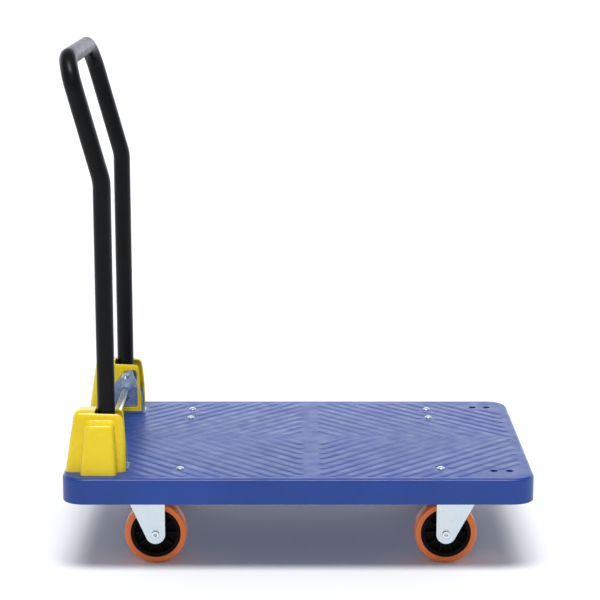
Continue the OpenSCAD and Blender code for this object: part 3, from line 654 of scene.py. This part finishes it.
def cover(side):
    """A moulded shell: two blended blocks, hollow, open below and towards the deck's middle.
    It is made on the right side and mirrored for the left."""
    lo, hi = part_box("cover_" + side)
    inner_y = min(abs(lo.y), abs(hi.y))
    outer_y = max(abs(lo.y), abs(hi.y)) - BULGE_OUT
    work = bmesh.new()
    work.from_mesh(cover_form(lo.x, hi.x, -outer_y, -inner_y, hi.z))
    bmesh.ops.bisect_plane(work, geom=list(work.verts) + list(work.edges) + list(work.faces),
                           plane_co=(0, 0, TOP + SEAT_GAP), plane_no=(0, 0, -1), clear_outer=True)
    slot_y0 = -POST_Y - SLOT_OUTSIDE
    slot_y1 = -inner_y - COVER_T
    # Each plane's normal points away from what is cut out
    past_end = (Vector((POST_X - SLOT_BEFORE, 0, 0)), Vector((-1, 0, 0)))
    inside_slot = (Vector((0, slot_y0, 0)), Vector((0, -1, 0)))
    short_of_face = (Vector((0, slot_y1, 0)), Vector((0, 1, 0)))
    under_face = (Vector((0, 0, TOP + COVER_LIFT)), Vector((0, 0, 1)))
    cut_out(work, [past_end, inside_slot, short_of_face], lambda p: True)
    cut_out(work, [past_end, under_face], lambda p: p.y > slot_y1)
    cut_out(work, window_planes(-inner_y), lambda p: p.y > -inner_y - FACE_DEPTH)
    for vert in work.verts:
        vert.co.y *= -SIDES[side]
    obj = finish_piece("cover_shell_" + side, mesh_from(work, "cover_shell_" + side), "deck",
                       "cover_plastic", 60)
    solid = obj.modifiers.new("wall", "SOLIDIFY")
    solid.thickness = COVER_T
    solid.offset = -1
    solid.use_even_offset = True
    bevel = obj.modifiers.new("rounding", "BEVEL")
    bevel.width = 0.6 * MM
    bevel.segments = 2
    bevel.limit_method = "ANGLE"
    bevel.angle_limit = math.radians(60)
    apply_modifiers(obj)
    obj.data.set_sharp_from_angle(angle=math.radians(60))
    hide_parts("cover_" + side)
    return obj


for side_name in SIDES:
    cover(side_name)


# --- handle ------------------------------------------------------------------------------

TUBE_R = 14 * MM
TUBE_T = 1.8 * MM
TUBE_SIDES = 48
BUSH_BORE_R = 7.13 * MM         # hole for the pivot bush through each post
BUSH_BORE_L = 40 * MM           # more than the tube's thickness
LEAN = math.radians(15.3)
BEND_R = 75 * MM
CORNER_R = 48 * MM
BEND_RISE = 457 * MM            # the bend's tangent corner above the deck
POST_STEPS = 24
BEND_STEPS = 16
ARM_STEPS = 8
CORNER_STEPS = 24
BAR_STEPS = 6                   # over half of the crossbar


def handle_path(lo, hi):
    """Centre line from the foot of one post, over the crossbar, to the other foot."""
    bend_z = TOP + BEND_RISE - BEND_R * math.tan(LEAN / 2)
    half = [Vector((POST_X, -POST_Y, lo.z + (bend_z - lo.z) * i / POST_STEPS))
            for i in range(POST_STEPS)]
    for i in range(BEND_STEPS + 1):
        t = LEAN * i / BEND_STEPS
        half.append(Vector((POST_X - BEND_R * (1 - math.cos(t)), -POST_Y,
                            bend_z + BEND_R * math.sin(t))))
    foot = half[-1]
    up = Vector((-math.sin(LEAN), 0, math.cos(LEAN)))
    arm = (hi.z - TUBE_R - foot.z) / math.cos(LEAN) - CORNER_R
    half += [foot + up * (arm * i / ARM_STEPS) for i in range(1, ARM_STEPS + 1)]
    centre = half[-1] + Vector((0, CORNER_R, 0))
    for i in range(1, CORNER_STEPS + 1):
        t = math.pi / 2 * i / CORNER_STEPS
        half.append(centre + Vector((0, -CORNER_R * math.cos(t), 0))
                    + up * (CORNER_R * math.sin(t)))
    across = [Vector((half[-1].x, y, half[-1].z)) for y in
              [(-POST_Y + CORNER_R) * (1 - i / BAR_STEPS) for i in range(1, BAR_STEPS)]]
    middle = [Vector((half[-1].x, 0, half[-1].z))]
    mirrored = [Vector((p.x, -p.y, p.z)) for p in (half + across)[::-1]]
    return half + across + middle + mirrored


def bush_bores():
    """Two pins across the posts at the pivot, to be cut out of the tube."""
    work = bmesh.new()
    for sign in (-1, 1):
        across = (Matrix.Translation((POST_X, sign * POST_Y, PIVOT_Z))
                  @ Matrix.Rotation(math.pi / 2, 4, "X"))
        bmesh.ops.create_cone(work, cap_ends=True, segments=TUBE_SIDES, radius1=BUSH_BORE_R,
                              radius2=BUSH_BORE_R, depth=BUSH_BORE_L, matrix=across)
    return add_object("bore", mesh_from(work, "bore"))


def handle():
    """One bent tube with open ends and a hole through each post for the pivot bush."""
    lo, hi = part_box("handle_tube")
    verts, faces = sweep(handle_path(lo, hi), TUBE_R, TUBE_SIDES, TUBE_R - TUBE_T)
    obj = piece("handle_tube_bent", verts, faces, "handle", "handle_paint", 40)
    cutter = bush_bores()
    cut = obj.modifiers.new("bore", "BOOLEAN")
    cut.operation = "DIFFERENCE"
    cut.object = cutter
    apply_modifiers(obj)
    bpy.data.objects.remove(cutter)
    obj.data.shade_smooth()
    obj.data.set_sharp_from_angle(angle=math.radians(40))
    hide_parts("handle_tube")


handle()


# --- release springs ---------------------------------------------------------------------

SPRING_R = 7.5 * MM
SPRING_WIRE = 0.8 * MM
SPRING_TURNS = 7
SPRING_STEPS = 32               # points on each turn


def spring(side):
    """A compression spring with closed ends."""
    lo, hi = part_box("release_spring_" + side)
    centre = Vector(((lo.x + hi.x) / 2, (lo.y + hi.y) / 2, 0))
    low = lo.z + SPRING_WIRE
    high = hi.z - SPRING_WIRE
    path = []
    for i in range(SPRING_TURNS * SPRING_STEPS + 1):
        t = i / SPRING_STEPS
        end = min(1.0, t, SPRING_TURNS - t) * 0.5
        share = (t - end) / SPRING_TURNS if t < SPRING_TURNS / 2 else (t + end) / SPRING_TURNS
        share = min(max(share, 0), 1)
        angle = SIDES[side] * 2 * math.pi * t
        path.append(centre + Vector((SPRING_R * math.cos(angle), SPRING_R * math.sin(angle),
                                     low + (high - low) * share)))
    verts, faces = sweep(path, SPRING_WIRE, 12)
    obj = piece("release_coil_" + side, verts, faces, "deck", "spring_steel", 40)
    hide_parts("release_spring_" + side)
    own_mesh(obj)


for side_name in SIDES:
    spring(side_name)


# --- wheels ------------------------------------------------------------------------------

TYRE_SEGMENTS = 144
HUB_GAP = 0.05 * MM


def tyre_profile(r_in, r_out, half):
    """The tyre's section, with one half mirrored: seat, side with a groove, shoulder, crown and
    mould line."""
    shoulder = 3.2 * MM
    crown = 0.35 * MM
    side = [(r_in, half - 1.2 * MM), (r_in + 0.4 * MM, half - 0.3 * MM), (r_in + 1.2 * MM, half),
            (r_in + 2.6 * MM, half), (r_in + 3.1 * MM, half - 0.5 * MM),
            (r_in + 4.1 * MM, half - 0.5 * MM), (r_in + 4.6 * MM, half)]
    rounding = arc(r_out - crown - shoulder, half - shoulder, shoulder, 90, 8, 7)
    tread = [(r_out - crown * (y / (half - shoulder)) ** 2, y) for y in
             [(half - shoulder) * (1 - i / 6) for i in range(1, 6)]]
    line = [(r_out - 0.15 * MM, 0.55 * MM), (r_out, 0.25 * MM)]
    top = side + rounding + tread + line
    return top + [(r, -y) for r, y in top[::-1]]


def tyre(end, side):
    lo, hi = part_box(f"tyre_{end}_{side}")
    hub_lo, hub_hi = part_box(f"hub_{end}_{side}")
    centre = (lo + hi) / 2
    r_in = (hub_hi.x - hub_lo.x) / 2 + HUB_GAP
    profile = tyre_profile(r_in, (hi.x - lo.x) / 2, (hi.y - lo.y) / 2)
    verts, faces = lathe(profile, centre, TYRE_SEGMENTS)
    obj = piece(f"tyre_tread_{end}_{side}", verts, faces, f"wheel_{end}_{side}", "tyre_orange", 40)
    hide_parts(f"tyre_{end}_{side}")


for end_name in ENDS:
    for side_name in SIDES:
        tyre(end_name, side_name)


# --- floor, light and camera -------------------------------------------------------------

FLOOR_HALF = 60                 # metres, past the camera's horizon
SKY_COLOUR = (0.905, 0.95, 1.03, 1)
DOME = 0.36                     # strength of the plain dome
BACKDROP = (0.1, 2.15)          # what is added low down, on the near and the far side
SOFTBOX_LEANS = (-9, 0, 9)      # degrees
SOFTBOX_TILT = 22
SOFTBOX_SPREAD = 16
SOFTBOX_ENERGY = 0.92
CAMERA_AT = (0.0028, -3.086, 1.036)
CAMERA_DIP = 11.7               # degrees below level
CAMERA_LENS = 114.5


def floor():
    work = bmesh.new()
    bmesh.ops.create_grid(work, x_segments=4, y_segments=4, size=FLOOR_HALF)
    mesh = mesh_from(work, "floor")
    mesh.materials.append(floor_paint("floor_paint"))
    add_object("floor", mesh)


def sky():
    """A pale dome with a bright backdrop low down on the far side, for the deck's sheen."""
    world = bpy.data.worlds.new("studio")
    bpy.context.scene.world = world
    world.use_nodes = True
    tree = world.node_tree
    background = tree.nodes["Background"]
    background.inputs["Color"].default_value = SKY_COLOUR
    place = tree.nodes.new("ShaderNodeTexCoord")
    split = tree.nodes.new("ShaderNodeSeparateXYZ")
    tree.links.new(place.outputs["Generated"], split.inputs["Vector"])
    low = map_range(tree, split.outputs["Z"], 0.1, 0.55, 1.0, 0.0)
    far = map_range(tree, split.outputs["Y"], -0.2, 0.8, *BACKDROP)
    backdrop = tree.nodes.new("ShaderNodeMath")
    backdrop.operation = "MULTIPLY"
    tree.links.new(low, backdrop.inputs[0])
    tree.links.new(far, backdrop.inputs[1])
    total = tree.nodes.new("ShaderNodeMath")
    total.operation = "ADD"
    total.inputs[1].default_value = DOME
    tree.links.new(backdrop.outputs["Value"], total.inputs[0])
    tree.links.new(total.outputs["Value"], background.inputs["Strength"])


def studio():
    """The sky and a softbox above and a little in front, as a row of soft suns."""
    sky()
    for i, lean in enumerate(SOFTBOX_LEANS):
        data = bpy.data.lights.new(f"softbox_{i}", "SUN")
        data.energy = SOFTBOX_ENERGY
        data.angle = math.radians(SOFTBOX_SPREAD)
        lamp = add_object(f"softbox_{i}", data)
        lamp.rotation_euler = (math.radians(SOFTBOX_TILT), math.radians(lean), 0)


def camera():
    data = bpy.data.cameras.new("camera")
    data.sensor_width = 36
    data.lens = CAMERA_LENS
    data.clip_end = 200
    obj = add_object("camera", data)
    obj.location = CAMERA_AT
    obj.rotation_euler = (math.radians(90 - CAMERA_DIP), 0, 0)
    bpy.context.scene.camera = obj


floor()
studio()
camera()
bpy.context.scene.view_settings.view_transform = "Standard"
